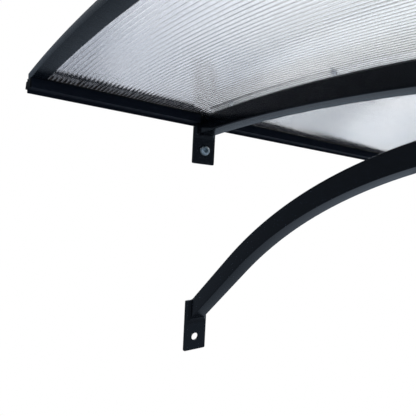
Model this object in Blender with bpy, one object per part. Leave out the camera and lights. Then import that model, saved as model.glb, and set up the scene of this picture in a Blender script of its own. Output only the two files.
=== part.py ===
"""Arched polycarbonate door canopy on two welded tube brackets with curved braces.

X runs along the wall, Y into the wall (its face is y = 0) and Z up, in metres.
The origin is the middle of the wall rail's back face. "Out" is the distance from the
wall, and a section's "rise" is measured square to the arch or brace that carries it.
"""
import math

import bmesh
import bpy
from mathutils import Vector

# Overall sizes
canopy_width = 1.500
canopy_depth = 0.900
bracket_inset = 0.284
bolt_spacing = 0.364

# Arch of the upper arm's top face
arch_radius = 3.330
crown_out = 0.374
crown_height = 0.0256

# Square tube of the arms and braces
tube_width = 0.030
tube_depth = 0.029
tube_wall = 0.002
tube_corner = 0.002
arm_setback = 0.022

# Brace: straight from the wall, then bent, then straight under the arm
brace_angle = math.radians(40.1)
brace_straight = 0.177
brace_radius = 0.847
brace_end_angle = math.radians(10.0)

# Wall plates and their welds
plate_width = 0.045
plate_height = 0.100
plate_thickness = 0.005
plate_corner = 0.003
hole_diameter = 0.0145
hole_height = 0.026
arm_drop = 0.0308
brace_drop = 0.0211
weld_leg = 0.007
weld_hollow = 0.22

# Sheet and the tape that it lies on
sheet_thickness = 0.006
sheet_lift = 0.0032
sheet_wall_gap = 0.006
tape_width = 0.022

# Edge trims round the sheet
trim_wall = 0.0018
trim_lip = 0.0182
trim_clearance = 0.001

# Wall rail, its gasket, caps and screws
rail_height = 0.020
rail_reach = 0.028
rail_wall = 0.002
rail_foot = 0.0046
rail_lip = 0.009
gasket_width = 0.008
cap_thickness = 0.002
cap_plug = 0.008
rail_screw_pitch = 0.380
rail_screw_length = 0.040
rail_screw_crown = 0.6
rail_screw_rim = 0.25

# Flashing over the sheet's rear edge, in lengths between the plates
flashing_wall = 0.0015
flashing_leg = 0.016
flashing_lap = 0.034

# Clamping strips and sheet screws
strip_width = 0.026
strip_thickness = 0.003
strip_setback = 0.008
sheet_screw_count = 4
sheet_screw_end = 0.060
screw_radius = 0.0025
screw_head_width = 0.008
screw_head_height = 0.0045
screw_length = 0.024

# Wall bolt with a domed head and a hexagon socket
bolt_radius = 0.006
bolt_length = 0.030
bolt_head_radius = 0.0102
bolt_head_height = 0.0066
socket_width = 0.008
socket_depth = 0.004

# Plug in the arm's front end
plug_head = 0.002
plug_insert = 0.012

# Clearances and the fineness of curves
seat_gap = 0.0003
joint_gap = 0.0005
hole_clearance = 0.0004
arch_steps = 20
foot_steps = 2
bend_steps = 18
run_steps = 3
corner_steps = 2
hole_steps = 24
screw_steps = 12
dome_steps = 3
edge_angle = math.radians(30)
tube_edge_angle = math.radians(40)
dome_edge_angle = math.radians(35)
weld_edge_angle = math.radians(50)

bracket_x = canopy_width / 2 - bracket_inset
trim_low = sheet_lift - seat_gap - trim_wall
trim_high = sheet_lift + sheet_thickness + seat_gap + trim_wall
rail_bottom = -rail_height / 2
channel_bottom = rail_bottom + rail_foot
rail_top = trim_low - seat_gap
tube_start = plate_thickness + seat_gap
arm_front = canopy_depth - arm_setback

STEEL = ("powder_coat", (0.020, 0.024, 0.030), 0.35, 0.0)
SHEET = ("polycarbonate", (0.74, 0.76, 0.80), 0.20, 0.0)
TRIM = ("trim_aluminium", (0.035, 0.042, 0.050), 0.40, 0.2)
ZINC = ("zinc", (0.62, 0.68, 0.70), 0.30, 0.9)
SEAL = ("seal_rubber", (0.012, 0.012, 0.013), 0.70, 0.0)
CAP = ("cap_plastic", (0.015, 0.016, 0.018), 0.50, 0.0)


def material(finish):
    """Principled material from a finish: name, linear colour, roughness, metallic."""
    name, colour, roughness, metallic = finish
    found = bpy.data.materials.get(name)
    if found:
        return found
    made = bpy.data.materials.new(name)
    made.use_nodes = True
    shader = made.node_tree.nodes["Principled BSDF"]
    shader.inputs["Base Color"].default_value = (*colour, 1.0)
    shader.inputs["Roughness"].default_value = roughness
    shader.inputs["Metallic"].default_value = metallic
    return made


def place(name, bm, finish, smooth_angle=None):
    """Object from a bmesh, with its faces turned outwards."""
    bmesh.ops.recalc_face_normals(bm, faces=bm.faces)
    mesh = bpy.data.meshes.new(name)
    bm.to_mesh(mesh)
    bm.free()
    if smooth_angle is not None:
        mesh.shade_smooth()
        mesh.set_sharp_from_angle(angle=smooth_angle)
    thing = bpy.data.objects.new(name, mesh)
    bpy.context.scene.collection.objects.link(thing)
    if finish:
        mesh.materials.append(material(finish))
    return thing


def cutter(name, bm):
    """Hidden object that only cuts others."""
    thing = place(name, bm, None)
    thing.hide_render = True
    thing.display_type = "WIRE"
    return thing


def cut(thing, tool):
    """Take the tool's volume out of a thing."""
    step = thing.modifiers.new("cut", "BOOLEAN")
    step.operation = "DIFFERENCE"
    step.object = tool


def stack(bm, loops, ring=False):
    """Skin loops of equal length one after another, closed by end faces or into a ring."""
    rows = [[bm.verts.new(point) for point in loop] for loop in loops]
    count = len(rows[0])
    pairs = list(zip(rows, rows[1:]))
    if ring:
        pairs.append((rows[-1], rows[0]))
    for lower, upper in pairs:
        for i in range(count):
            j = (i + 1) % count
            bm.faces.new((lower[i], lower[j], upper[j], upper[i]))
    if not ring:
        bm.faces.new(rows[0])
        bm.faces.new(rows[-1])


def spread(start, end, count):
    """Evenly spaced values from start to end, both kept."""
    return [start + (end - start) * i / count for i in range(count + 1)]


def rounded(width, height, radius, steps=corner_steps):
    """Corner-rounded rectangle round the origin, anticlockwise from the lower right corner."""
    points = []
    for turn, (sx, sy) in enumerate(((1, -1), (1, 1), (-1, 1), (-1, -1))):
        cx = sx * (width / 2 - radius)
        cy = sy * (height / 2 - radius)
        for k in range(steps + 1):
            angle = math.pi / 2 * (turn - 1 + k / steps)
            points.append((cx + radius * math.cos(angle), cy + radius * math.sin(angle)))
    return points


def polar(radii):
    """Points round the origin, one for each radius, evenly turned."""
    count = len(radii)
    turn = 2 * math.pi / count
    return [(r * math.cos(turn * i), r * math.sin(turn * i)) for i, r in enumerate(radii)]


def circle(radius, count):
    """Regular polygon of a round section."""
    return polar([radius] * count)


def hexagon(width, count):
    """Hexagon across flats `width`, sampled at `count` evenly turned points."""
    radii = []
    for i in range(count):
        off_flat = (360 / count * i) % 60 - 30
        radii.append(width / 2 / math.cos(math.radians(off_flat)))
    return polar(radii)


def arch_height(out, rise):
    """Height of the arch at a distance from the wall, `rise` above the arm's top face."""
    radius = arch_radius + rise
    return crown_height - arch_radius + math.sqrt(radius**2 - (out - crown_out) ** 2)


upper_plate_top = arch_height(plate_thickness, -tube_depth / 2) + arm_drop
upper_plate_bottom = upper_plate_top - plate_height
lower_plate_bottom = upper_plate_bottom - bolt_spacing
lower_plate_top = lower_plate_bottom + plate_height
brace_foot = lower_plate_top - brace_drop - plate_thickness * math.tan(brace_angle)
bend_out = brace_straight * math.cos(brace_angle) + brace_radius * math.sin(brace_angle)
bend_height = (
    brace_foot
    + brace_straight * math.sin(brace_angle)
    - brace_radius * math.cos(brace_angle)
)


def brace_height(out, rise):
    """Height of the brace at a distance from the wall, `rise` above its centre line."""
    radius = brace_radius + rise
    if out < bend_out - radius * math.sin(brace_angle):
        return brace_foot + out * math.tan(brace_angle) + rise / math.cos(brace_angle)
    bend_end = bend_out - radius * math.sin(brace_end_angle)
    if out < bend_end:
        return bend_height + math.sqrt(radius**2 - (out - bend_out) ** 2)
    beyond = out - bend_end
    end_height = bend_height + radius * math.cos(brace_end_angle)
    return end_height + beyond * math.tan(brace_end_angle)


def swept(section, stations, height, x=0.0):
    """Loops of a section (across, rise) carried along the arch or the brace."""
    return [[(x + a, -out, height(out, r)) for a, r in section] for out in stations]


def tube(bm, stations, height, x):
    """Square tube along a curve, open at both ends."""
    outer = rounded(tube_width, tube_depth, tube_corner)
    bore = rounded(tube_width - 2 * tube_wall, tube_depth - 2 * tube_wall, tube_corner / 2)
    skins = swept(outer, stations, height, x) + swept(bore, reversed(stations), height, x)
    stack(bm, skins, ring=True)


def along_x(bm, outline, x0, x1):
    """Straight length of a profile given as (out, height) points."""
    stack(bm, [[(x, -out, z) for out, z in outline] for x in (x0, x1)])


def arm_rise(out, rise):
    """Height on the upper arm, `rise` above its centre line."""
    return arch_height(out, rise - tube_depth / 2)


def brace_reach():
    """Distance from the wall at which the brace's underside has run into the arm."""
    out = canopy_depth / 2
    while brace_height(out, -tube_depth / 2) < arch_height(out, -tube_depth):
        out += tube_wall
    return min(out, arm_front)


def arch_block(bm, x, width, low, high, start, end):
    """Curved block on the arch, between two rises and two distances from the wall."""
    section = [(-width / 2, low), (width / 2, low), (width / 2, high), (-width / 2, high)]
    stack(bm, swept(section, spread(start, end, arch_steps), arch_height, x))


def upper_arm(side, x):
    bm = bmesh.new()
    tube(bm, spread(tube_start, arm_front, arch_steps), arm_rise, x)
    return place(f"{side}_upper_arm", bm, STEEL, tube_edge_angle)


def brace(side, x):
    """Bent tube whose front end is cut to the arm's underside."""
    first_bend = bend_out - brace_radius * math.sin(brace_angle)
    last_bend = bend_out - brace_radius * math.sin(brace_end_angle)
    reach = brace_reach()
    stations = spread(tube_start, first_bend, foot_steps)[:-1]
    stations += spread(first_bend, last_bend, bend_steps)
    stations += spread(last_bend, reach, run_steps)[1:]
    bm = bmesh.new()
    tube(bm, stations, brace_height, x)
    thing = place(f"{side}_brace", bm, STEEL, tube_edge_angle)
    cope = bmesh.new()
    low = -tube_depth - seat_gap
    arch_block(cope, x, 2 * tube_width, low, tube_depth, last_bend, canopy_depth)
    cut(thing, cutter(f"{side}_cope_cutter", cope))
    return thing


def wall_plate(name, x, bottom):
    """Flat plate with one bolt hole near its lower end."""
    outline = rounded(plate_width, plate_height, plate_corner)
    middle = bottom + plate_height / 2
    bm = bmesh.new()
    stack(bm, [[(x + a, -out, middle + b) for a, b in outline] for out in (0, plate_thickness)])
    thing = place(name, bm, STEEL, edge_angle)
    hole = bmesh.new()
    rim = circle(hole_diameter / 2, hole_steps)
    centre = bottom + hole_height
    ends = (-plate_thickness, 2 * plate_thickness)
    stack(hole, [[(x + a, -out, centre + b) for a, b in rim] for out in ends])
    cut(thing, cutter(f"{name}_hole_cutter", hole))
    return thing


def weld_ring(name, x, height, ceiling):
    """Hollow-faced fillet weld round a tube's end on its plate, no higher than `ceiling`.

    Its loops go from the root on the plate, over the toe, the hollow face and the toe on
    the tube, back to the root.
    """
    corner_points = corner_steps + 1
    fit = rounded(tube_width + 2 * seat_gap, tube_depth + 2 * seat_gap, tube_corner)
    low = height(tube_start, -tube_depth / 2)
    high = height(tube_start, tube_depth / 2)
    top_leg = min(weld_leg, ceiling - seat_gap - high)
    span = high - low + weld_leg + top_leg
    toe_flat = rounded(tube_width + 2 * weld_leg, span, tube_corner + weld_leg / 2)
    toe_middle = (high + top_leg + low - weld_leg) / 2
    root = [(x + a, -tube_start, height(tube_start, r)) for a, r in fit]
    toe = [(x + a, -tube_start, toe_middle + b) for a, b in toe_flat]
    tube_toe = tube_start + weld_leg
    crest = [(x + a, -tube_toe, height(tube_toe, r)) for a, r in fit]
    face = []
    for i in range(4 * corner_points):
        middle = (Vector(toe[i]) + Vector(crest[i])) / 2
        face.append(middle.lerp(Vector(root[i]), weld_hollow))
    bm = bmesh.new()
    stack(bm, [root, toe, face, crest], ring=True)
    return place(name, bm, STEEL, weld_edge_angle)


def front_plug(side, x):
    """Plastic plug that closes the arm's front end."""
    head = rounded(tube_width, tube_depth, tube_corner)
    bore_gap = 2 * (tube_wall + seat_gap)
    insert = rounded(tube_width - bore_gap, tube_depth - bore_gap, tube_corner / 2)
    seat = arm_front + seat_gap
    loops = swept(insert, [seat - plug_insert, seat], arm_rise, x)
    loops += swept(head, [seat, seat + plug_head], arm_rise, x)
    bm = bmesh.new()
    stack(bm, loops)
    return place(f"{side}_arm_plug", bm, CAP, tube_edge_angle)


def arm_tape(side, x):
    """Soft tape between the arm and the sheet."""
    bm = bmesh.new()
    top = sheet_lift - seat_gap
    arch_block(bm, x, tape_width, seat_gap, top, rail_reach, arm_front - seat_gap)
    return place(f"{side}_arm_tape", bm, SEAL, edge_angle)


def clamp_strip(side, x):
    """Flat strip that holds the sheet down along an arm."""
    low = sheet_lift + sheet_thickness + seat_gap
    start = flashing_lap + strip_setback
    end = canopy_depth - trim_lip - strip_setback
    bm = bmesh.new()
    arch_block(bm, x, strip_width, low, low + strip_thickness, start, end)
    return place(f"{side}_clamp_strip", bm, TRIM, edge_angle)


def sheet_screws(side, x):
    """Hexagon-headed screws through strip, sheet and tape into the arm, and their cutter."""
    seat = sheet_lift + sheet_thickness + strip_thickness + 2 * seat_gap
    first = flashing_lap + sheet_screw_end
    last = canopy_depth - trim_lip - sheet_screw_end
    holes = bmesh.new()
    screws = []
    for number, out in enumerate(spread(first, last, sheet_screw_count - 1), 1):
        tilt = math.asin((out - crown_out) / arch_radius)
        axis = Vector((0, -math.sin(tilt), math.cos(tilt)))
        along = Vector((0, -math.cos(tilt), -math.sin(tilt)))
        foot = Vector((x, -out, arch_height(out, 0)))

        def loop(outline, rise):
            return [foot + Vector((a, 0, 0)) + along * b + axis * rise for a, b in outline]

        hex_outline = hexagon(screw_head_width, screw_steps)
        shank = circle(screw_radius, screw_steps)
        bottom = seat + seat_gap - screw_length
        bm = bmesh.new()
        stack(bm, [
            loop(hex_outline, seat + seat_gap + screw_head_height),
            loop(hex_outline, seat + seat_gap),
            loop(shank, seat + seat_gap),
            loop(shank, bottom),
        ])
        screws.append(place(f"{side}_sheet_screw_{number}", bm, ZINC, tube_edge_angle))
        bore = circle(screw_radius + hole_clearance, screw_steps)
        stack(holes, [loop(bore, seat + screw_head_height), loop(bore, bottom + tube_wall)])
    return screws, cutter(f"{side}_screw_cutter", holes)


def wall_bolt(side, x):
    """Domed bolt with a hexagon socket, seated on the upper plate, its shank in the wall."""
    centre = upper_plate_bottom + hole_height
    face = plate_thickness + seat_gap
    rim_height = bolt_head_height / 4
    crown_radius = (bolt_head_radius + socket_width / 2) / 2

    def loop(outline, rise):
        return [(x + a, -(face + rise), centre + b) for a, b in outline]

    socket = hexagon(socket_width, hole_steps)
    loops = [loop(socket, bolt_head_height - socket_depth), loop(socket, bolt_head_height)]
    for k in range(dome_steps + 1):
        angle = math.pi / 2 * k / dome_steps
        radius = crown_radius + (bolt_head_radius - crown_radius) * math.sin(angle)
        rise = rim_height + (bolt_head_height - rim_height) * math.cos(angle)
        loops.append(loop(circle(radius, hole_steps), rise))
    loops.append(loop(circle(bolt_head_radius, hole_steps), 0))
    loops.append(loop(circle(bolt_radius, hole_steps), 0))
    loops.append(loop(circle(bolt_radius, hole_steps), -bolt_length))
    bm = bmesh.new()
    stack(bm, loops)
    return place(f"{side}_wall_bolt", bm, ZINC, dome_edge_angle)


def bracket(side, x):
    """One welded bracket with what fastens the sheet to it; returns the screws' cutter."""
    screws, holes = sheet_screws(side, x)
    arm = upper_arm(side, x)
    tape = arm_tape(side, x)
    strip = clamp_strip(side, x)
    for thing in (arm, tape, strip):
        cut(thing, holes)
    brace(side, x)
    wall_plate(f"{side}_upper_plate", x, upper_plate_bottom)
    wall_plate(f"{side}_lower_plate", x, lower_plate_bottom)
    weld_ring(f"{side}_upper_weld", x, arm_rise, arch_height(tube_start, sheet_lift))
    weld_ring(f"{side}_lower_weld", x, brace_height, lower_plate_top)
    front_plug(side, x)
    wall_bolt(side, x)
    return holes


def sheet(holes):
    """Arched sheet, drilled for its screws."""
    width = canopy_width - 2 * (trim_wall + trim_clearance)
    end = canopy_depth - trim_wall - trim_clearance
    bm = bmesh.new()
    top = sheet_lift + sheet_thickness
    arch_block(bm, 0, width, sheet_lift, top, sheet_wall_gap, end)
    thing = place("twin_wall_sheet", bm, SHEET, edge_angle)
    for tool in holes:
        cut(thing, tool)


def side_trim(side, sign):
    """U-shaped trim bent along one side edge of the sheet."""
    outer = sign * canopy_width / 2
    web = outer - sign * trim_wall
    inner = outer - sign * trim_lip
    section = [
        (outer, trim_low),
        (inner, trim_low),
        (inner, trim_low + trim_wall),
        (web, trim_low + trim_wall),
        (web, trim_high - trim_wall),
        (inner, trim_high - trim_wall),
        (inner, trim_high),
        (outer, trim_high),
    ]
    end = canopy_depth - trim_lip - seat_gap
    bm = bmesh.new()
    stack(bm, swept(section, spread(sheet_wall_gap, end, arch_steps), arch_height))
    return place(f"{side}_side_trim", bm, TRIM, edge_angle)


def front_trim():
    """U-shaped trim along the sheet's front edge, over the whole width."""
    back = canopy_depth - trim_lip
    web = canopy_depth - trim_wall
    section = [
        (back, trim_low),
        (canopy_depth, trim_low),
        (canopy_depth, trim_high),
        (back, trim_high),
        (back, trim_high - trim_wall),
        (web, trim_high - trim_wall),
        (web, trim_low + trim_wall),
        (back, trim_low + trim_wall),
    ]
    outline = [(out, arch_height(out, rise)) for out, rise in section]
    bm = bmesh.new()
    along_x(bm, outline, -canopy_width / 2, canopy_width / 2)
    return place("front_trim", bm, TRIM)


def rail_outline():
    """Channel with a foot on the wall and an inward lip under the sheet."""
    front = rail_reach
    lip = rail_reach - rail_lip
    inside = rail_reach - rail_wall
    return [
        (0, rail_bottom),
        (rail_wall, rail_bottom),
        (rail_wall, channel_bottom),
        (front, channel_bottom),
        (front, arch_height(front, rail_top)),
        (lip, arch_height(lip, rail_top)),
        (lip, arch_height(lip, rail_top - rail_wall)),
        (inside, arch_height(inside, rail_top - rail_wall)),
        (inside, channel_bottom + rail_wall),
        (rail_wall, channel_bottom + rail_wall),
        (rail_wall, -rail_bottom),
        (0, -rail_bottom),
    ]


def rail_screw(name, x, centre):
    """Pan-headed screw inside the channel, its shank in the wall."""
    seat = rail_wall + seat_gap

    def loop(radius, out):
        return [(x + a, -out, centre + b) for a, b in circle(radius, screw_steps)]

    head_radius = screw_head_width / 2
    bm = bmesh.new()
    stack(bm, [
        loop(head_radius * rail_screw_crown, seat + screw_head_height * rail_screw_crown),
        loop(head_radius, seat + screw_head_height * rail_screw_rim),
        loop(head_radius, seat),
        loop(screw_radius, seat),
        loop(screw_radius, seat - rail_screw_length),
    ])
    return place(name, bm, ZINC, tube_edge_angle)


def wall_rail(part, x0, x1):
    """One length of the rail between the plates, with its screws and its gasket."""
    bm = bmesh.new()
    along_x(bm, rail_outline(), x0, x1)
    rail = place(f"wall_rail_{part}", bm, TRIM)
    centre = (channel_bottom + rail_wall - rail_bottom) / 2
    count = max(2, round((x1 - x0) / rail_screw_pitch))
    step = (x1 - x0) / count
    holes = bmesh.new()
    rim = circle(screw_radius + hole_clearance, screw_steps)
    for number in range(count):
        x = x0 + step * (number + 0.5)
        rail_screw(f"rail_screw_{part}_{number + 1}", x, centre)
        ends = (-rail_wall, 2 * rail_wall)
        stack(holes, [[(x + a, -out, centre + b) for a, b in rim] for out in ends])
    cut(rail, cutter(f"rail_{part}_hole_cutter", holes))
    edge = canopy_width / 2 - trim_lip - seat_gap
    low = rail_top + seat_gap
    high = sheet_lift - seat_gap
    start = rail_reach - gasket_width
    section = [(start, low), (rail_reach, low), (rail_reach, high), (start, high)]
    gasket = bmesh.new()
    outline = [(out, arch_height(out, rise)) for out, rise in section]
    along_x(gasket, outline, max(x0, -edge), min(x1, edge))
    place(f"rail_gasket_{part}", gasket, SEAL)


def rail_cap(side, sign):
    """Plastic cap on the rail's end, with a plug that fills the channel."""
    front = rail_reach
    outline = [
        (0, channel_bottom),
        (front, channel_bottom),
        (front, arch_height(front, rail_top)),
        (0, arch_height(0, rail_top)),
    ]
    gap = rail_wall + seat_gap
    plug_top = arch_height(rail_wall, rail_top - gap)
    plug = [
        (gap, channel_bottom + gap),
        (front - gap, channel_bottom + gap),
        (front - gap, plug_top),
        (gap, plug_top),
    ]
    end = sign * (canopy_width / 2 + seat_gap)
    loops = []
    for shape, x in (
        (plug, end - sign * cap_plug),
        (plug, end),
        (outline, end),
        (outline, end + sign * cap_thickness),
    ):
        loops.append([(x, -out, z) for out, z in shape])
    bm = bmesh.new()
    stack(bm, loops)
    return place(f"{side}_rail_cap", bm, CAP)


def flashing(part, x0, x1):
    """One length of the angle over the sheet's rear edge: a lap on the sheet, a leg up the wall."""
    low = sheet_lift + sheet_thickness + seat_gap
    high = low + flashing_wall
    corner = arch_height(flashing_wall, high)
    outline = [
        (0, arch_height(0, low)),
        (flashing_lap, arch_height(flashing_lap, low)),
        (flashing_lap, arch_height(flashing_lap, high)),
        (flashing_wall, corner),
        (flashing_wall, corner + flashing_leg),
        (0, corner + flashing_leg),
    ]
    edge = canopy_width / 2 - trim_lip - joint_gap
    bm = bmesh.new()
    along_x(bm, outline, max(x0, -edge), min(x1, edge))
    place(f"flashing_{part}", bm, TRIM)


def build():
    """The whole canopy."""
    for thing in list(bpy.data.objects):
        bpy.data.objects.remove(thing)
    holes = [bracket("left", -bracket_x), bracket("right", bracket_x)]
    sheet(holes)
    for side, sign in (("left", -1), ("right", 1)):
        side_trim(side, sign)
        rail_cap(side, sign)
    front_trim()
    end = canopy_width / 2
    near = bracket_x - plate_width / 2 - joint_gap
    far = bracket_x + plate_width / 2 + joint_gap
    for part, x0, x1 in (("left", -end, -far), ("centre", -near, near), ("right", far, end)):
        wall_rail(part, x0, x1)
        flashing(part, x0, x1)


build()
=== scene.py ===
"""Arched twin-wall canopy on two welded tube brackets, seen from under its left end.

X runs along the wall, Y into the wall and Z up, in metres. "Out" is the distance from the
wall's face y = 0. "Rise" is the height over the arch of the arms' top faces, or over the
centre line of a tube, measured along the curve's own radius.
"""
import math

import bpy
import numpy as np
from mathutils import Matrix


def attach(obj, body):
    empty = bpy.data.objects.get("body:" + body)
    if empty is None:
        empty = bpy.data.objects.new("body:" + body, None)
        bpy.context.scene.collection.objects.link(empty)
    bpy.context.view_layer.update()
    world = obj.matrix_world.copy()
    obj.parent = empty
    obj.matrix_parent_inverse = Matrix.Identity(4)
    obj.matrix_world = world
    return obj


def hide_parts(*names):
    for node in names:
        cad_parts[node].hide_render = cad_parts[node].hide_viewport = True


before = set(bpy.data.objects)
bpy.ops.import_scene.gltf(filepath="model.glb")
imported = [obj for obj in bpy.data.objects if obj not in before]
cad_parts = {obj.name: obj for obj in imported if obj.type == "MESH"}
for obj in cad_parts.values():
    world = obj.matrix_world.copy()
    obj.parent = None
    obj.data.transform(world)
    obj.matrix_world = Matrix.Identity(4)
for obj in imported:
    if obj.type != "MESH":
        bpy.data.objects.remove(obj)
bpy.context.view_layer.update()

# Directions along the wall, into it and up
X, Y, Z = np.eye(3)

# Whole canopy, and the gaps between touching pieces and between lengths end to end
HALF_WIDTH = 0.750
DEPTH = 0.900
BRACKET_X = 0.466
GAP = 0.0003
JOINT_GAP = 0.0005

# Arch of the arms' top faces
ARCH_RADIUS, CROWN_OUT, CROWN_HEIGHT = 3.330, 0.374, 0.0256

# Square tube of arms and braces
TUBE_WIDTH, TUBE_DEPTH, TUBE_WALL, TUBE_CORNER = 0.030, 0.029, 0.002, 0.002
ARM_FRONT = DEPTH - 0.022
BRACE_ANGLE, BRACE_END_ANGLE = math.radians(40.1), math.radians(10.0)
BRACE_STRAIGHT, BRACE_RADIUS = 0.177, 0.847
PLUG_HEAD, PLUG_INSERT, PLUG_EDGE = 0.002, 0.012, 0.0008

# Wall plates, welds and bolts
PLATE_WIDTH, PLATE_HEIGHT, PLATE_THICK, PLATE_CORNER = 0.045, 0.100, 0.005, 0.003
HOLE_RADIUS, HOLE_HEIGHT = 0.00725, 0.026
ARM_DROP, BRACE_DROP, BOLT_SPACING = 0.0308, 0.0211, 0.364
WELD_LEG = 0.007
BOLT_RADIUS, BOLT_LENGTH, HEAD_RADIUS, HEAD_HEIGHT = 0.006, 0.030, 0.0102, 0.0066
SOCKET_WIDTH, SOCKET_DEPTH = 0.008, 0.004

# Sheet, its tape, strips and screws
SHEET_LIFT, SHEET_THICK, SHEET_START = 0.0032, 0.006, 0.006
TAPE_WIDTH, TAPE_CORNER = 0.022, 0.0008
STRIP_WIDTH, STRIP_THICK, STRIP_SETBACK, STRIP_CORNER = 0.026, 0.003, 0.008, 0.0007
SCREW_COUNT, SCREW_END = 4, 0.060
SCREW_RADIUS, SCREW_HEAD, SCREW_HEAD_HEIGHT, SCREW_LENGTH = 0.0025, 0.008, 0.0045, 0.024

# Edge trims, wall rail and flashing
TRIM_WALL, TRIM_LIP, TRIM_CLEAR, EDGE = 0.0018, 0.0182, 0.001, 0.0004
RAIL_BOTTOM, CHANNEL_BOTTOM, RAIL_WALL, RAIL_REACH, RAIL_LIP = -0.010, -0.0054, 0.002, 0.028, 0.009
GASKET_WIDTH, GASKET_CORNER = 0.008, 0.0008
CAP_THICK, CAP_SLANT, CAP_PLUG, CAP_CORNER, CAP_EDGE = 0.002, 0.0011, 0.008, 0.0008, 0.0006
RAIL_SCREW_PITCH, RAIL_SCREW_LENGTH, PAN_HEAD_HEIGHT = 0.380, 0.040, SCREW_HEAD_HEIGHT * 0.6
FLASHING_WALL, FLASHING_LEG, FLASHING_LAP, FLASHING_BEND = 0.0015, 0.016, 0.034, 0.0006

TUBE_START = PLATE_THICK + GAP
SHEET_TOP = SHEET_LIFT + SHEET_THICK
TRIM_LOW = SHEET_LIFT - GAP - TRIM_WALL
TRIM_HIGH = SHEET_TOP + GAP + TRIM_WALL
RAIL_TOP = TRIM_LOW - GAP

# Points round a turned part, and loops along the tubes, the side trims, and tape and strip
TURNS = 48
TUBE_LOOPS, TRIM_LOOPS, STRIP_LOOPS = 110, 60, 40


# Curves

def arch_height(out, rise):
    """Height on the arch: crown height - R + sqrt((R + rise)^2 - (out - crown)^2)."""
    radius = ARCH_RADIUS + rise
    return CROWN_HEIGHT - ARCH_RADIUS + np.sqrt(radius**2 - (out - CROWN_OUT) ** 2)


def arm_height(out, rise):
    """Height on an arm's tube, its rise taken from the tube's centre line."""
    return arch_height(out, rise - TUBE_DEPTH / 2)


UPPER_TOP = float(arch_height(PLATE_THICK, -TUBE_DEPTH / 2)) + ARM_DROP
UPPER_BOTTOM = UPPER_TOP - PLATE_HEIGHT
LOWER_BOTTOM = UPPER_BOTTOM - BOLT_SPACING
LOWER_TOP = LOWER_BOTTOM + PLATE_HEIGHT
BRACE_FOOT = LOWER_TOP - BRACE_DROP - PLATE_THICK * math.tan(BRACE_ANGLE)
BEND_OUT = BRACE_STRAIGHT * math.cos(BRACE_ANGLE) + BRACE_RADIUS * math.sin(BRACE_ANGLE)
BEND_HEIGHT = (BRACE_FOOT + BRACE_STRAIGHT * math.sin(BRACE_ANGLE)
               - BRACE_RADIUS * math.cos(BRACE_ANGLE))


def brace_height(out, rise):
    """Height on a brace: a straight at 40 degrees, then an arc of R + rise, then a straight
    at 10 degrees, each taken where `out` falls."""
    radius = BRACE_RADIUS + rise
    first = BEND_OUT - radius * math.sin(BRACE_ANGLE)
    last = BEND_OUT - radius * math.sin(BRACE_END_ANGLE)
    straight = BRACE_FOOT + out * math.tan(BRACE_ANGLE) + rise / math.cos(BRACE_ANGLE)
    arc = BEND_HEIGHT + np.sqrt(np.maximum(radius**2 - (out - BEND_OUT) ** 2, 0))
    run = (BEND_HEIGHT + radius * math.cos(BRACE_END_ANGLE)
           + (out - last) * math.tan(BRACE_END_ANGLE))
    return np.where(out < first, straight, np.where(out < last, arc, run))


# Flat outlines

def filleted(corners, radius, steps=4, most=0.45):
    """Closed outline with each corner rounded, by a parabola tangent to both its sides at
    r / tan(half the corner's angle) from the corner, and at most that share of a side."""
    corners = np.asarray(corners, dtype=float)
    before = np.roll(corners, 1, axis=0) - corners
    after = np.roll(corners, -1, axis=0) - corners
    before_length = np.linalg.norm(before, axis=1)
    after_length = np.linalg.norm(after, axis=1)
    before /= before_length[:, None]
    after /= after_length[:, None]
    half = np.arccos(np.clip((before * after).sum(axis=1), -1, 1)) / 2
    reach = np.minimum(radius / np.tan(half), np.minimum(before_length, after_length) * most)
    start = corners + before * reach[:, None]
    end = corners + after * reach[:, None]
    t = np.linspace(0, 1, steps + 1)[None, :, None]
    curve = (1 - t) ** 2 * start[:, None] + 2 * t * (1 - t) * corners[:, None] + t**2 * end[:, None]
    return curve.reshape(-1, 2)


def on_arch(corners):
    """Corners (out, rise) over the arch, as corners (out, height)."""
    return [(out, float(arch_height(out, rise))) for out, rise in corners]


def rectangle(width, low, high, radius, steps=4):
    """Rounded rectangle, centred across, between two rises."""
    w = width / 2
    return filleted([(w, low), (w, high), (-w, high), (-w, low)], radius, steps)


def refined(outline, step):
    """A closed outline with points no further apart than a step."""
    dense = []
    for p, q in zip(outline, np.roll(outline, -1, axis=0)):
        n = max(1, int(np.linalg.norm(q - p) / step))
        dense.append(p + (q - p) * np.arange(n)[:, None] / n)
    return np.concatenate(dense)


def inset(outline, distance):
    """A closed outline moved inwards, each point square to the chord between its neighbours."""
    chord = np.roll(outline, -1, axis=0) - np.roll(outline, 1, axis=0)
    chord /= np.linalg.norm(chord, axis=1)[:, None]
    inward = np.stack([-chord[:, 1], chord[:, 0]], axis=1)
    x, y = outline.T
    turn = np.sign((x * np.roll(y, -1) - np.roll(x, -1) * y).sum())
    return outline + inward * distance * turn


def soft_edge(radius, steps=3):
    """Quarter circle from a face to a side: how far in and how deep, r (1 - sin), r (1 - cos)."""
    angle = np.linspace(0, np.pi / 2, steps + 1)
    return list(zip(radius * (1 - np.sin(angle)), radius * (1 - np.cos(angle))))


# Surfaces

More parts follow.
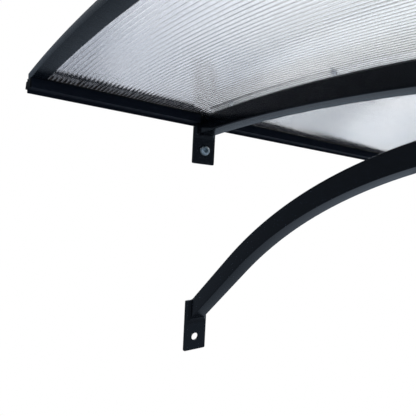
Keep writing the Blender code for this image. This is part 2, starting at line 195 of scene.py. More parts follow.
def mesh_piece(name, points, faces, smooth=30.0):
    """Object on the body, from points and faces, smooth but for edges sharper than `smooth`.

    The faces of a closed surface point outwards where its volume, the sum of a.(b x c)/6, is
    positive, and are turned where it is negative.
    """
    mesh = bpy.data.meshes.new(name)
    mesh.from_pydata(np.asarray(points).reshape(-1, 3), [], faces)
    mesh.calc_loop_triangles()
    corners = np.empty(len(mesh.loop_triangles) * 3, dtype=int)
    mesh.loop_triangles.foreach_get("vertices", corners)
    a, b, c = np.asarray(points).reshape(-1, 3)[corners.reshape(-1, 3)].transpose(1, 0, 2)
    if np.einsum("ij,ij->i", a, np.cross(b, c)).sum() < 0:
        mesh.flip_normals()
    mesh.shade_smooth()
    mesh.set_sharp_from_angle(angle=math.radians(smooth))
    piece = bpy.data.objects.new(name, mesh)
    bpy.context.scene.collection.objects.link(piece)
    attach(piece, "root")
    return piece


def surface(name, loops, ring=False, smooth=30.0):
    """Closed surface through equal loops (rows, columns, 3), with a flat face at each end or
    with its last loop joined to its first."""
    loops = np.asarray(loops, dtype=float)
    rows, columns = loops.shape[:2]
    row = np.arange(rows if ring else rows - 1)[:, None]
    column = np.arange(columns)[None, :]
    following = (column + 1) % columns
    ahead = (row + 1) % rows * columns
    quads = np.stack([row * columns + column, row * columns + following,
                      ahead + following, ahead + column], axis=-1)
    faces = quads.reshape(-1, 4).tolist()
    if not ring:
        last = (rows - 1) * columns
        faces += [list(range(columns))[::-1], list(range(last, last + columns))]
    return mesh_piece(name, loops, faces, smooth)


def along(profile, outs, height, x=0.0):
    """Loops of a profile (across, rise) carried over the distances `outs` on a height curve;
    `outs` has one value for each loop, or one for each of its points."""
    across, rise = np.asarray(profile).T
    out = np.asarray(outs, dtype=float).reshape(len(outs), -1) * np.ones(len(across))
    return np.stack([x + across + 0 * out, -out, height(out, rise + 0 * out)], axis=-1)


def along_wall(outline, x):
    """One loop of an outline (out, height) at a place along the wall."""
    out, height = np.asarray(outline).T
    return np.stack([np.full(len(out), x), -out, height], axis=-1)


def on_wall(outline, out):
    """One loop of an outline (along the wall, height) at a distance from the wall."""
    x, height = np.asarray(outline).T
    return np.stack([x, np.full(len(x), -out), height], axis=-1)


def turned(name, rows, foot, across, beside, axis):
    """Loops foot + r cos t across + r sin t beside + rise axis, for each row (r, rise), where r
    is a number or has one value for each turn t."""
    t = np.linspace(0, 2 * np.pi, TURNS, endpoint=False)
    loops = []
    for radius, rise in rows:
        x, y = radius * np.cos(t), radius * np.sin(t)
        loops.append(foot + x[:, None] * across + y[:, None] * beside + rise * axis)
    return surface(name, loops, smooth=35.0)


def hexagon(width):
    """Radii of a hexagon across flats: (w/2) / cos(turn off the nearest flat)."""
    turn = np.arange(TURNS) * 360 / TURNS
    return width / 2 / np.cos(np.radians(turn % 60 - 30))


# Shader maths

class Val:
    """A shader socket or number; arithmetic on it adds Math nodes."""

    def __init__(self, tree, socket):
        self.tree = tree
        self.socket = socket

    def math(self, operation, *others):
        return self.tree.node("ShaderNodeMath", {"operation": operation}, self, *others)

    def __add__(self, other):
        return self.math("ADD", other)

    __radd__ = __add__

    def __mul__(self, other):
        return self.math("MULTIPLY", other)

    __rmul__ = __mul__

    def __sub__(self, other):
        return self.math("SUBTRACT", other)

    def __rsub__(self, other):
        return self.tree.node("ShaderNodeMath", {"operation": "SUBTRACT"}, other, self)


class Tree:
    """A node tree and its shader, with a few shorthands."""

    def __init__(self, tree, shader):
        self.nodes = tree.nodes
        self.links = tree.links
        self.shader = self.nodes[shader]

    def node(self, kind, settings, *values, output=0, **named):
        """A node of a kind: its settings first, then its sockets by order or by name."""
        made = self.nodes.new(kind)
        for key, value in settings.items():
            setattr(made, key, value)
        for key, value in enumerate(values):
            self.join(made.inputs[key], value)
        for key, value in named.items():
            self.join(made.inputs[key.replace("_", " ")], value)
        return Val(self, made.outputs[output])

    def join(self, socket, value):
        """Link a value or set a plain one."""
        if isinstance(value, Val):
            self.links.new(value.socket, socket)
        else:
            socket.default_value = value

    def feed(self, name, value):
        """Feed the shader's socket."""
        self.join(self.shader.inputs[name], value)

    def mix(self, share, first, second):
        """Colour between two, by share."""
        made = self.nodes.new("ShaderNodeMix")
        made.data_type = "RGBA"
        self.join(made.inputs[0], share)
        self.join(made.inputs[6], first)
        self.join(made.inputs[7], second)
        return Val(self, made.outputs[2])

    def spread(self, value, low, high, to_low=0.0, to_high=1.0, kind="LINEAR"):
        """Map a value's range to another, clamped."""
        settings = {"clamp": True, "interpolation_type": kind}
        return self.node("ShaderNodeMapRange", settings, value, low, high, to_low, to_high)


class Finish(Tree):
    """A material with one Principled shader."""

    def __init__(self, name, **fixed):
        self.material = bpy.data.materials.new(name)
        self.material.use_nodes = True
        super().__init__(self.material.node_tree, "Principled BSDF")
        for key, value in fixed.items():
            self.feed(key.replace("_", " ").title().replace("Ior", "IOR"), value)

    def noise(self, size, detail):
        """Noise from 0 to 1 in Object coordinates, its blotches about `size` metres."""
        spot = self.node("ShaderNodeTexCoord", {}, output="Object")
        return self.node("ShaderNodeTexNoise", {}, Vector=spot, Scale=1 / size, Detail=detail)

    def attribute(self, name):
        """A piece's own value for each of its points."""
        return self.node("ShaderNodeAttribute", {"attribute_name": name}, output="Fac")

    def light_up(self, colour):
        """Faint light where a piece's "lit" is 1, as a clear sheet carries to what touches it."""
        self.feed("Emission Color", self.mix(self.attribute("lit"), (0, 0, 0, 1), colour))
        self.feed("Emission Strength", 1.0)

    def bump(self, height, depth, strength):
        """Normal from a height of `depth` metres."""
        return self.node("ShaderNodeBump", {}, Strength=strength, Distance=depth, Height=height)


def rgb(r, g, b):
    """Linear colour of an sRGB one in 0 to 255."""
    line = [c / 255 / 12.92 if c <= 10 else ((c / 255 + 0.055) / 1.055) ** 2.4 for c in (r, g, b)]
    return (*line, 1.0)


# Materials

# Light that the clear sheet carries to a coated and to a plated face on it
COATING_GLIMMER, PLATING_GLIMMER = (0.155, 0.16, 0.175, 1), (0.55, 0.57, 0.60, 1)


def coating(name, dark, light, smooth, rough, peel, gloss=0.5):
    """Dark coating: slight mottling, its sheen between two roughnesses, and orange peel."""
    m = Finish(name, specular_ior_level=gloss)
    m.feed("Base Color", m.mix(m.noise(0.05, 3), dark, light))
    m.light_up(COATING_GLIMMER)
    m.feed("Roughness", m.spread(m.noise(0.012, 3), 0.3, 0.7, smooth, rough))
    m.feed("Normal", m.bump(m.noise(0.0016, 1), peel, 0.5))
    return m.material


def clear_plastic(name, ior, rough):
    """Clear extruded polycarbonate, very slightly clouded, with painted shade where its shade mark
    is 1.
    """
    m = Finish(name, transmission_weight=1.0, ior=ior, roughness=rough)
    unshaded = m.mix(m.noise(0.12, 2), (0.95, 0.96, 0.98, 1), (0.98, 0.98, 0.99, 1))
    # Near-black brown where the shade mark is high: painted shade by the wall
    wall_shade = m.spread(m.attribute("wall_shade"), 0.10, 0.35)
    m.feed("Base Color", m.mix(wall_shade, unshaded, (0.012, 0.008, 0.006, 1)))
    return m.material


def bright_zinc():
    """Bright zinc plating with a fine grain, darkened as painted shade where a piece's "hollow" is
    1.
    """
    m = Finish("bright_zinc", metallic=1.0)
    plated = m.mix(m.noise(0.002, 3), rgb(220, 232, 232), rgb(240, 246, 246))
    # Mid grey where "hollow" is 1: painted shade in a bolt's socket
    m.feed("Base Color", m.mix(m.attribute("hollow"), plated, rgb(150, 164, 168)))
    m.feed("Roughness", m.spread(m.noise(0.0015, 2), 0.3, 0.7, 0.20, 0.34))
    m.light_up(PLATING_GLIMMER)
    return m.material


def foam_rubber():
    """Matt foam tape and gasket, with fine pores."""
    m = Finish("foam_rubber", roughness=0.8)
    m.feed("Base Color", m.mix(m.noise(0.004, 3), rgb(12, 12, 13), rgb(24, 24, 25)))
    m.feed("Normal", m.bump(m.noise(0.0008, 2), 0.00005, 0.6))
    return m.material


STEEL = coating("powder_coat", rgb(14, 17, 23), rgb(20, 24, 31), 0.16, 0.22, 0.00002)
SLATE = coating("slate_coat", rgb(22, 27, 33), rgb(28, 34, 41), 0.22, 0.30, 0.00001)
SHADE = coating("dark_coat", rgb(27, 31, 41), rgb(34, 39, 50), 0.50, 0.60, 0.00001, 0.12)
BLACK = coating("moulded_black", rgb(10, 11, 14), rgb(15, 16, 20), 0.55, 0.65, 0.00002, 0.15)
CLEAR = clear_plastic("clear_polycarbonate", 1.46, 0.05)
FROSTED = clear_plastic("frosted_polycarbonate", 1.08, 0.30)
ZINC = bright_zinc()
RUBBER = foam_rubber()


def mark(piece, name, values):
    """Give a piece one value for each of its points, for its material."""
    piece.data.attributes.new(name, "FLOAT", "POINT").data.foreach_set("value", np.ravel(values))


def dress(piece, material, slot, *replaced):
    """Give a piece its material, and put it in the place of CAD nodes; the slot is not used."""
    piece.data.materials.append(material)
    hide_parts(*replaced)


# The sheet

def twin_wall(pitch=0.0057, skin=0.00045, rib=0.0004, bow=0.00020, steps=24,
              shade_reach=(0.050, 0.066), shade_fade=0.030):
    """Two skins joined by upright ribs, carried over the arch.

    Each channel has three columns of points: its rib's side, its middle and the next rib's side,
    at the four rises of the skins' faces. Between ribs both skins bow inwards, as an extruded
    sheet's do, and the channels are open at both ends. The lower skin inside each channel's end by
    the wall is darkened as painted shade: its share is (reach - out) / fade, kept in 0 to 1, with a
    reach of the channel's own. The loops lie closer there.
    """
    half = HALF_WIDTH - TRIM_WALL - TRIM_CLEAR
    count = int(2 * half / pitch)
    edges = np.linspace(-half, half, count + 1)
    xs = np.stack([edges[:-1] + rib / 2, (edges[:-1] + edges[1:]) / 2, edges[1:] - rib / 2], axis=1)
    xs = np.concatenate([[-half], xs.reshape(-1), [half]])
    sag = np.zeros(len(xs))
    sag[2::3] = bow
    rises = np.array([SHEET_LIFT, SHEET_LIFT + skin, SHEET_TOP - skin, SHEET_TOP])
    inward = np.array([1, 1, -1, -1])
    rear = SHEET_START + np.array([0.0, 0.016, 0.030, 0.044, 0.060])
    unshaded, front = 0.085, DEPTH - TRIM_WALL - TRIM_CLEAR
    outs = np.append(rear, np.linspace(unshaded, front, steps - len(rear)))
    out, rise, x = np.meshgrid(outs, rises, xs, indexing="ij")
    rise = rise + inward[:, None] * sag
    points = np.stack([x, -out, arch_height(out, rise)], axis=-1)
    columns = len(xs)
    index = np.arange(points.size // 3).reshape(steps, 4, columns)

    def patch(block, turn=1):
        """Quads of a block of indices, faced either way."""
        quads = np.stack([block[:-1, :-1], block[:-1, 1:], block[1:, 1:], block[1:, :-1]], axis=-1)
        return quads[..., ::turn]

    hollow = np.ones(columns - 1, dtype=bool)
    hollow[0::3] = False
    solid = np.ones((3, columns - 1), dtype=bool)
    solid[1, hollow] = False
    quads = [patch(index[:, 0]), patch(index[:, 3], -1),
             patch(index[:, 1], -1)[:, hollow], patch(index[:, 2])[:, hollow],
             patch(index[:, :, 0], -1), patch(index[:, :, -1]),
             patch(index[0], -1)[solid], patch(index[-1])[solid]]
    for column in range(1, columns - 1, 3):
        quads.append(patch(index[:, 1:3, column]))
        quads.append(patch(index[:, 1:3, column + 2], -1))
    faces = np.concatenate([q.reshape(-1, 4) for q in quads]).tolist()
    piece = mesh_piece("fluted_sheet", points, faces)
    # Painted shade: each channel's lower skin marked to darken towards its end by the wall
    wall_shade = np.zeros(index.shape)
    reach = np.random.default_rng(5).uniform(*shade_reach, count)
    wall_shade[:, 1, 2::3] = np.clip((reach - outs[:, None]) / shade_fade, 0, 1)
    mark(piece, "wall_shade", wall_shade)
    return piece


dress(twin_wall(), CLEAR, "polycarbonate", "twin_wall_sheet")


# Edge trims

def side_trim(side, sign):
    """U-shaped edge profile with softened edges, carried along the arch."""
    outer = sign * HALF_WIDTH
    web = outer - sign * TRIM_WALL
    inner = outer - sign * TRIM_LIP
    corners = [(outer, TRIM_LOW), (inner, TRIM_LOW), (inner, TRIM_LOW + TRIM_WALL),
               (web, TRIM_LOW + TRIM_WALL), (web, TRIM_HIGH - TRIM_WALL),
               (inner, TRIM_HIGH - TRIM_WALL), (inner, TRIM_HIGH), (outer, TRIM_HIGH)]
    outs = np.linspace(SHEET_START, DEPTH - TRIM_LIP - GAP, TRIM_LOOPS)
    loops = along(filleted(corners, EDGE, 3), outs, arch_height)
    piece = surface(f"{side}_edge_profile", loops)
    dress(piece, SLATE, "trim_aluminium", f"{side}_side_trim")


def front_trim():
    """The same edge profile straight along the front."""
    back, web = DEPTH - TRIM_LIP, DEPTH - TRIM_WALL
    corners = [(back, TRIM_LOW), (DEPTH, TRIM_LOW), (DEPTH, TRIM_HIGH), (back, TRIM_HIGH),
               (back, TRIM_HIGH - TRIM_WALL), (web, TRIM_HIGH - TRIM_WALL),
               (web, TRIM_LOW + TRIM_WALL), (back, TRIM_LOW + TRIM_WALL)]
    outline = filleted(on_arch(corners), EDGE, 3)
    loops = [along_wall(outline, x) for x in (-HALF_WIDTH, HALF_WIDTH)]
    dress(surface("front_edge_profile", loops), SLATE, "trim_aluminium", "front_trim")


side_trim("left", -1)
side_trim("right", 1)
front_trim()


# Wall rail and flashing

def wall_rail(part, x0, x1):
    """Channel with a foot on the wall and an inward lip under the sheet, edges softened."""
    front, lip, inside = RAIL_REACH, RAIL_REACH - RAIL_LIP, RAIL_REACH - RAIL_WALL
    low = RAIL_TOP - RAIL_WALL
    floor_top = CHANNEL_BOTTOM + RAIL_WALL
    corners = [(0, RAIL_BOTTOM), (RAIL_WALL, RAIL_BOTTOM), (RAIL_WALL, CHANNEL_BOTTOM),
               (front, CHANNEL_BOTTOM),
               *on_arch([(front, RAIL_TOP), (lip, RAIL_TOP), (lip, low), (inside, low)]),
               (inside, floor_top), (RAIL_WALL, floor_top),
               (RAIL_WALL, -RAIL_BOTTOM), (0, -RAIL_BOTTOM)]
    outline = filleted(corners, EDGE, 3)
    loops = [along_wall(outline, x) for x in (x0, x1)]
    dress(surface(f"rail_length_{part}", loops), SHADE, "trim_aluminium", f"wall_rail_{part}")


def gasket(part, x0, x1):
    """Rubber strip with rounded corners between the rail's lip and the sheet."""
    start, edge = RAIL_REACH - GASKET_WIDTH, HALF_WIDTH - TRIM_LIP - GAP
    low, high = RAIL_TOP + GAP, SHEET_LIFT - GAP
    corners = [(start, low), (RAIL_REACH, low), (RAIL_REACH, high), (start, high)]
    outline = filleted(on_arch(corners), GASKET_CORNER)
    loops = [along_wall(outline, x) for x in (max(x0, -edge), min(x1, edge))]
    dress(surface(f"seal_{part}", loops), RUBBER, "seal_rubber", f"rail_gasket_{part}")


def flashing(part, x0, x1):
    """Bent angle: a lap on the sheet and a leg up the wall. The lap's lower face, up to a rise
    inside the wall, takes light from the sheet."""
    low = SHEET_TOP + GAP
    inside, high = low + FLASHING_WALL * 0.7, low + FLASHING_WALL
    corners = on_arch([(0, low), (FLASHING_LAP, low), (FLASHING_LAP, high), (FLASHING_WALL, high)])
    top = corners[-1][1] + FLASHING_LEG
    edge = HALF_WIDTH - TRIM_LIP - JOINT_GAP
    outline = filleted([*corners, (FLASHING_WALL, top), (0, top)], FLASHING_BEND, 3)
    loops = [along_wall(outline, x) for x in (max(x0, -edge), min(x1, edge))]
    piece = surface(f"rear_angle_{part}", loops)
    under = outline[:, 1] < arch_height(outline[:, 0], inside)
    mark(piece, "lit", np.tile(under, (2, 1)).astype(float))
    dress(piece, SLATE, "trim_aluminium", f"flashing_{part}")


def rail_screws(part, x0, x1):
    """Pan heads with a cross recess, its radius a + b |cos 2t|^4, seated inside the channel; the
    dome is part of a quarter ellipse between its crown and its rim."""
    count = max(2, round((x1 - x0) / RAIL_SCREW_PITCH))
    step = (x1 - x0) / count
    centre = (CHANNEL_BOTTOM + RAIL_WALL - RAIL_BOTTOM) / 2
    seat = RAIL_WALL + GAP
    head, top = SCREW_HEAD / 2, PAN_HEAD_HEIGHT
    narrow, lobe, recess_wall, recess_deep = 0.0006, 0.0012, 0.0016, 0.0018
    crown, rim, point = 0.0020, 0.0008, 0.004
    t = np.linspace(0, 2 * np.pi, TURNS, endpoint=False)
    cross = narrow + lobe * np.abs(np.cos(2 * t)) ** 4
    rows = [(cross * 0.5, top - recess_deep), (cross, top - recess_wall), (cross, top)]
    for angle in np.linspace(0.25, 1, 6) * np.pi / 2:
        rows.append((crown + (head - crown) * math.sin(angle), rim + (top - rim) * math.cos(angle)))
    rows += [(head, 0.0), (SCREW_RADIUS, 0.0), (SCREW_RADIUS, point - RAIL_SCREW_LENGTH),
             (SCREW_RADIUS / 4, -RAIL_SCREW_LENGTH)]
    for number in range(count):
        foot = np.array([x0 + step * (number + 0.5), -seat, centre])
        piece = turned(f"pan_screw_{part}_{number + 1}", rows, foot, X, Z, -Y)
        dress(piece, ZINC, "zinc", f"rail_screw_{part}_{number + 1}")


def rail_cap(side, sign):
    """Moulded cap with a plug into the channel, its softened face slanted in towards its top."""
    front, gap, plug_corner = RAIL_REACH, RAIL_WALL + GAP, 0.0005
    plug_top = float(arch_height(RAIL_WALL, RAIL_TOP - gap))
    face = filleted([(0, CHANNEL_BOTTOM), (front, CHANNEL_BOTTOM),
                     *on_arch([(front, RAIL_TOP), (0, RAIL_TOP)])], CAP_CORNER)
    plug = filleted([(gap, CHANNEL_BOTTOM + gap), (front - gap, CHANNEL_BOTTOM + gap),
                     (front - gap, plug_top), (gap, plug_top)], plug_corner)
    end = HALF_WIDTH + GAP
    loops = [along_wall(plug, sign * (end - CAP_PLUG)), along_wall(plug, sign * end),
             along_wall(face, sign * end)]
    for inward, depth in soft_edge(CAP_EDGE, 4)[::-1]:
        loop = along_wall(inset(face, inward), sign * (end + CAP_THICK - depth))
        loop[:, 0] -= sign * CAP_SLANT * (loop[:, 2] - CHANNEL_BOTTOM) / np.ptp(loop[:, 2])
        loops.append(loop)
    dress(surface(f"{side}_end_cap", loops), BLACK, "cap_plastic", f"{side}_rail_cap")


PLATE_NEAR = BRACKET_X - PLATE_WIDTH / 2 - JOINT_GAP
PLATE_FAR = BRACKET_X + PLATE_WIDTH / 2 + JOINT_GAP
for length in (("left", -HALF_WIDTH, -PLATE_FAR), ("centre", -PLATE_NEAR, PLATE_NEAR),
               ("right", PLATE_FAR, HALF_WIDTH)):
    wall_rail(*length)
    gasket(*length)
    flashing(*length)
    rail_screws(*length)
rail_cap("left", -1)
rail_cap("right", 1)


# Brackets

def square_tube(name, x, ends, height):
    """Hollow square tube: its outer and its inner skin, each profile point carried out by
    start + t (end - start) to an end of its own."""
    reach, bore = TUBE_DEPTH / 2, TUBE_DEPTH / 2 - TUBE_WALL
    outer = rectangle(TUBE_WIDTH, -reach, reach, TUBE_CORNER, 5)
    inner = rectangle(TUBE_WIDTH - 2 * TUBE_WALL, -bore, bore, TUBE_CORNER / 2, 5)
    t = np.linspace(0, 1, TUBE_LOOPS)[:, None]
    skins = []
    for profile, turn in ((outer, 1), (inner, -1)):
        outs = TUBE_START + t * (ends(profile[:, 1]) - TUBE_START)
        skins.append(along(profile, outs, height, x)[::turn])
    return surface(name, np.concatenate(skins), ring=True)


def arm_ends(rise):
    """An arm is cut upright at its front."""
    return np.full(len(rise), ARM_FRONT)


def brace_ends(rise, halvings=30):
    """A brace ends on the arm's underside, found by halving for each profile point."""
    near = np.full(len(rise), DEPTH / 2)
    far = np.full(len(rise), ARM_FRONT)
    for _ in range(halvings):
        middle = (near + far) / 2
        under = brace_height(middle, rise) < arch_height(middle, -TUBE_DEPTH - GAP)
        near = np.where(under, middle, near)
        far = np.where(under, far, middle)
    return near


def wall_plate(name, x, bottom, soft=0.0005, step=0.003):
    """Plate with a hole: loops run from the hole's back over its bore, the front face, the
    edge and the back face. Each edge is a quarter circle with a narrow flat margin beside it."""
    half = PLATE_HEIGHT / 2
    outline = rectangle(PLATE_WIDTH, -half, half, PLATE_CORNER, 6)
    outline = refined(outline, step) + (x, bottom + half)
    centre = np.array([x, bottom + HOLE_HEIGHT])
    ray = outline - centre
    ray /= np.linalg.norm(ray, axis=1)[:, None]
    margin = 2 * soft

    def hole(wider, out):
        return on_wall(centre + ray * (HOLE_RADIUS + wider), out)

    def edge(inward, out):
        return on_wall(inset(outline, inward), out)

    arc = soft_edge(soft)
    loops = [hole(margin, 0)] + [hole(w, d) for w, d in arc]
    loops += [hole(w, PLATE_THICK - d) for w, d in arc[::-1]] + [hole(margin, PLATE_THICK)]
    loops += [edge(margin, PLATE_THICK)] + [edge(w, PLATE_THICK - d) for w, d in arc]
    loops += [edge(w, d) for w, d in arc[::-1]] + [edge(margin, 0)]
    return surface(name, loops, ring=True, smooth=60.0)


def weld(name, x, height, ceiling, step=0.0008, wave=0.0024, hollow=0.96, swell=0.010):
    """Fillet weld round a tube's foot.

    Its root follows the tube's section on the plate, its toe on the plate is the root widened
    by the leg on all sides, and its crest on the tube is the section one leg further out. The
    face between them is toe + t (crest - toe), drawn towards the root by hollow t (1 - t) and
    by the swell of ripples that are a wave apart along the run.
    """
    half = TUBE_DEPTH / 2 + GAP
    fit = refined(rectangle(TUBE_WIDTH + 2 * GAP, -half, half, TUBE_CORNER, 12), step)
    foot = np.stack([x + fit[:, 0], height(TUBE_START, fit[:, 1])], axis=1)
    middle, size = (foot.max(axis=0) + foot.min(axis=0)) / 2, np.ptp(foot, axis=0)
    wide = middle + (foot - middle) * (1 + 2 * (WELD_LEG - GAP) / size)
    wide[:, 1] = np.minimum(wide[:, 1], ceiling - GAP)
    root, toe = on_wall(foot, TUBE_START), on_wall(wide, TUBE_START)
    crest = along(fit, [TUBE_START + WELD_LEG], height, x)[0]
    steps = np.linalg.norm(np.roll(toe, -1, axis=0) - toe, axis=1)
    share = (np.cumsum(steps) - steps) / steps.sum()
    ripple = np.cos(2 * np.pi * round(steps.sum() / wave) * share)[:, None]
    rows = [root, toe]
    for t in (0.15, 0.3, 0.5, 0.7, 0.85):
        flat = toe * (1 - t) + crest * t
        rows.append(flat + (root - flat) * (hollow * t * (1 - t) + swell * ripple))
    rows.append(crest)
    return surface(name, rows, ring=True, smooth=60.0)


def arm_plug(side, x):
    """Plug with a softened head that closes an arm's front end."""
    seat = ARM_FRONT + GAP
    bore = TUBE_DEPTH / 2 - TUBE_WALL - GAP
    insert = rectangle(TUBE_WIDTH - 2 * (TUBE_WALL + GAP), -bore, bore, TUBE_CORNER / 2)
    head = rectangle(TUBE_WIDTH, -TUBE_DEPTH / 2, TUBE_DEPTH / 2, TUBE_CORNER)
    loops = [along(insert, [seat - PLUG_INSERT, seat], arm_height, x),
             along(head, [seat], arm_height, x)]
    for inward, depth in soft_edge(PLUG_EDGE)[::-1]:
        loops.append(along(inset(head, inward), [seat + PLUG_HEAD - depth], arm_height, x))
    piece = surface(f"{side}_end_plug", np.concatenate(loops))
    dress(piece, BLACK, "cap_plastic", f"{side}_arm_plug")


def arm_tape(side, x):
    """Foam tape between arm and sheet, its sides slightly rounded."""
    profile = rectangle(TAPE_WIDTH, GAP, SHEET_LIFT - GAP, TAPE_CORNER)
    outs = np.linspace(RAIL_REACH, ARM_FRONT - GAP, STRIP_LOOPS)
    piece = surface(f"{side}_foam_tape", along(profile, outs, arch_height, x))
    dress(piece, RUBBER, "seal_rubber", f"{side}_arm_tape")


def clamp_strip(side, x):
    """Frosted flat strip with rounded edges that holds the sheet down."""
    low = SHEET_TOP + GAP
    profile = rectangle(STRIP_WIDTH, low, low + STRIP_THICK, STRIP_CORNER)
    start, end = FLASHING_LAP + STRIP_SETBACK, DEPTH - TRIM_LIP - STRIP_SETBACK
    outs = np.linspace(start, end, STRIP_LOOPS)
    piece = surface(f"{side}_cover_strip", along(profile, outs, arch_height, x))
    dress(piece, FROSTED, "polycarbonate", f"{side}_clamp_strip")


def sheet_screws(side, x):
    """Flanged hexagon screws square to the arch, through strip, sheet and tape into the arm. The
    flange's underside and the shank take light from the sheet."""
    seat = SHEET_TOP + STRIP_THICK + 3 * GAP
    top, tip = seat + SCREW_HEAD_HEIGHT, seat - SCREW_LENGTH
    flats = hexagon(SCREW_HEAD)
    chamfer = [(0.0038, 0.0), (0.0043, 0.0003), (SCREW_HEAD, 0.0008)]
    flange = [(flats, 0.0010), (0.0052, 0.0009), (0.0055, 0.0006), (0.0055, 0.0)]
    point = 0.003
    rows = [(np.minimum(flats, radius), top - drop) for radius, drop in chamfer]
    rows += [(radius, seat + rise) for radius, rise in flange]
    underside = len(rows) - 1
    rows += [(SCREW_RADIUS, seat), (SCREW_RADIUS, tip + point), (SCREW_RADIUS / 4, tip)]
    lit = np.repeat(np.arange(len(rows)) >= underside, TURNS).astype(float)
    first = FLASHING_LAP + SCREW_END
    last = DEPTH - TRIM_LIP - SCREW_END
    for number, out in enumerate(np.linspace(first, last, SCREW_COUNT), 1):
        tilt = math.asin((out - CROWN_OUT) / ARCH_RADIUS)
        axis = -Y * math.sin(tilt) + Z * math.cos(tilt)
        beside = -Y * math.cos(tilt) - Z * math.sin(tilt)
        foot = np.array([x, -out, float(arch_height(out, 0))])
        piece = turned(f"{side}_flange_screw_{number}", rows, foot, X, -beside, axis)
        mark(piece, "lit", lit)
        dress(piece, ZINC, "zinc", f"{side}_sheet_screw_{number}")


def wall_bolt(side, x):
    """Domed head with a hexagon socket; the dome is a quarter ellipse from the socket's mouth
    to the rim."""
    foot = np.array([x, -PLATE_THICK - GAP, UPPER_BOTTOM + HOLE_HEIGHT])
    socket, floor_height = hexagon(SOCKET_WIDTH), HEAD_HEIGHT - SOCKET_DEPTH
    soft, rim, drill, flare, point, taper = 0.0003, 0.0010, 0.0006, 0.0002, 0.001, 0.0008
    mouth = SOCKET_WIDTH / 2 / math.cos(math.pi / 6) + soft
    rows = [(socket * 0.3, floor_height - drill), (socket, floor_height),
            (socket, HEAD_HEIGHT - soft), (socket + flare, HEAD_HEIGHT)]
    for angle in np.linspace(0, np.pi / 2, 10):
        rows.append((mouth + (HEAD_RADIUS - mouth) * math.sin(angle),
                     rim + (HEAD_HEIGHT - rim) * math.cos(angle)))
    rows += [(HEAD_RADIUS, soft), (HEAD_RADIUS - soft, 0.0), (BOLT_RADIUS, 0.0),
             (BOLT_RADIUS, point - BOLT_LENGTH), (BOLT_RADIUS - taper, -BOLT_LENGTH)]
    piece = turned(f"{side}_button_bolt", rows, foot, X, Z, -Y)
    # Painted shade: the socket's floor and drill point marked to darken
    hollow = np.zeros((len(rows), TURNS))
    hollow[:2] = 1.0
    mark(piece, "hollow", hollow)
    dress(piece, ZINC, "zinc", f"{side}_wall_bolt")


for side, x in (("left", -BRACKET_X), ("right", BRACKET_X)):
    arm = square_tube(f"{side}_arm_tube", x, arm_ends, arm_height)
    dress(arm, STEEL, "powder_coat", f"{side}_upper_arm")
    brace = square_tube(f"{side}_brace_tube", x, brace_ends, brace_height)
    dress(brace, STEEL, "powder_coat", f"{side}_brace")
    under_sheet = float(arch_height(TUBE_START, SHEET_LIFT))
    for level, bottom, height, ceiling in (("upper", UPPER_BOTTOM, arm_height, under_sheet),
                                           ("lower", LOWER_BOTTOM, brace_height, LOWER_TOP)):
        plate = wall_plate(f"{side}_{level}_foot", x, bottom)
        dress(plate, STEEL, "powder_coat", f"{side}_{level}_plate")
        bead = weld(f"{side}_{level}_bead", x, height, ceiling)
        dress(bead, STEEL, "powder_coat", f"{side}_{level}_weld")
    arm_plug(side, x)
    arm_tape(side, x)
    clamp_strip(side, x)
    sheet_screws(side, x)
    wall_bolt(side, x)


# Camera, floor and light

def camera():
    """Camera under the canopy's left end, looking right and slightly down towards the wall.

    Focal length and picture centre are in pixels. Forward, right and up follow from yaw and
    pitch, and roll turns the last two about the first.
    """
    yaw, pitch, roll, focal = 0.7900751, -0.0669776, 0.0681847, 420.1415
    centre_px, centre_py, frame_px, sensor = 317.813, 233.515, 416, 36.0
    place = (-0.8834, -0.7398, -0.1422)
    level = np.array([math.sin(yaw), math.cos(yaw), 0.0])
    forward = level * math.cos(pitch) + Z * math.sin(pitch)
    right = np.array([math.cos(yaw), -math.sin(yaw), 0.0])
    up = np.cross(right, forward)
    data = bpy.data.cameras.new("camera")
    data.sensor_fit = "HORIZONTAL"
    data.sensor_width = sensor
    data.lens = focal * sensor / frame_px
    data.shift_x = (frame_px / 2 - centre_px) / frame_px
    data.shift_y = (centre_py - frame_px / 2) / frame_px
    data.clip_start = 0.01
    turn = np.eye(4)
    turn[:3, 0] = math.cos(roll) * right + math.sin(roll) * up
    turn[:3, 1] = math.cos(roll) * up - math.sin(roll) * right
    turn[:3, 2] = -forward
    turn[:3, 3] = place
    thing = bpy.data.objects.new("camera", data)
    thing.matrix_world = Matrix(turn.tolist())
    bpy.context.scene.collection.objects.link(thing)
    bpy.context.scene.camera = thing


def floor():
    """Round pale floor well below the canopy: a disc of points at radius r and angle t."""
    radius, level, count = 1.5, -2.2, 96
    t = np.linspace(0, 2 * np.pi, count, endpoint=False)
    points = np.stack([radius * np.cos(t), radius * np.sin(t) - DEPTH / 2, 0 * t + level], axis=-1)
    mesh = bpy.data.meshes.new("floor")
    mesh.from_pydata(points, [], [list(range(count))])
    thing = bpy.data.objects.new("floor", mesh)
    bpy.context.scene.collection.objects.link(thing)
    m = Finish("pale_floor", roughness=0.9)
    m.feed("Base Color", m.mix(m.noise(0.8, 2), (0.80, 0.80, 0.80, 1), (0.84, 0.84, 0.84, 1)))
    mesh.materials.append(m.material)
    thing.visible_glossy = False


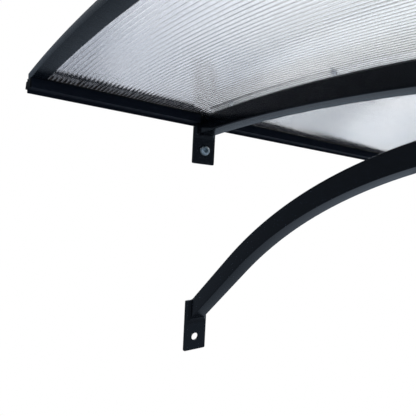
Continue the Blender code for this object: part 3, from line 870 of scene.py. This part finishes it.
def light():
    """Soft studio light from all round, on a plain white backdrop.

    With (x, y, z) the direction, the dome is bright where z and x + 0.8 z are above the
    horizon's soft edge, and below it the light grows towards +X and +Y and, less, towards -Y.
    The clear sheet shows a light of its own: cooler towards -X and brightest low towards +X.
    Seen straight through it, that is pale below and overhead, and dim about one direction over
    the wall. Mirrored on its way, it is dark towards -X, grey overhead and as the studio below.
    """
    world = bpy.data.worlds.new("studio")
    world.use_nodes = True
    bpy.context.scene.world = world
    sky = Tree(world.node_tree, "Background")
    turn = sky.node("ShaderNodeTexCoord", {}, output="Generated")
    x, y, z = (sky.node("ShaderNodeSeparateXYZ", {}, turn, output=axis) for axis in "XYZ")
    soft = {"kind": "SMOOTHSTEP"}
    dome = sky.spread(x + z * 0.8, -0.02, 0.40, **soft) * sky.spread(z, 0.02, 0.20, **soft)
    ground = sky.spread(x * 0.9 + y * 0.35, 0.35, 0.90, **soft)
    low = sky.mix(ground, (0.11, 0.135, 0.17, 1), (0.24, 0.285, 0.345, 1))
    front = sky.spread(y, -0.35, -0.90, **soft)
    low = sky.mix(front, low, (0.19, 0.245, 0.32, 1))
    high = sky.mix(sky.spread(z, 0.1, 0.5), (0.60, 0.75, 0.95, 1), (1.02, 1.04, 1.05, 1))
    around = sky.mix(dome, low, high)
    cool = sky.mix(sky.spread(x, 0.15, 0.75), (1.42, 1.47, 1.60, 1), (1.72, 1.74, 1.66, 1))
    glow = sky.spread(x, 0.57, 0.76) * sky.spread(z, 0.30, 0.21)
    clear = sky.mix(glow, cool, (4.5, 4.52, 4.35, 1))
    above, overhead = sky.spread(z, -0.10, 0.05), sky.spread(z, 0.45, 0.75)
    hollow = sky.spread(y * 0.88 + z * 0.36 - x * 0.3, 1.0, 0.72, **soft)
    straight = sky.mix(hollow, (0.40, 0.42, 0.46, 1), clear)
    straight = sky.mix(above * (1 - overhead), (0.80, 0.82, 0.85, 1), straight)
    lit_side = sky.spread(x + y * 0.4, 0.26, 0.78, **soft)
    mirrored = sky.mix(lit_side, (0.035, 0.038, 0.055, 1), clear)
    mirrored = sky.mix(above, around, sky.mix(overhead, mirrored, (0.45, 0.48, 0.52, 1)))
    bounces = sky.node("ShaderNodeLightPath", {}, output="Glossy Depth")
    behind = sky.mix(sky.spread(bounces, 0, 1), straight, mirrored)
    passed = sky.node("ShaderNodeLightPath", {}, output="Is Transmission Ray")
    sky.feed("Color", sky.mix(passed, around, behind))
    seen = sky.node("ShaderNodeLightPath", {}, output="Is Camera Ray")
    studio = Val(sky, sky.shader.outputs[0])
    paper = sky.node("ShaderNodeBackground", {}, Color=(1, 1, 1, 1))
    backdrop = sky.node("ShaderNodeMixShader", {}, seen, studio, paper)
    sky.join(sky.nodes["World Output"].inputs["Surface"], backdrop)
    bpy.context.scene.view_settings.view_transform = "Standard"


camera()
floor()
light()
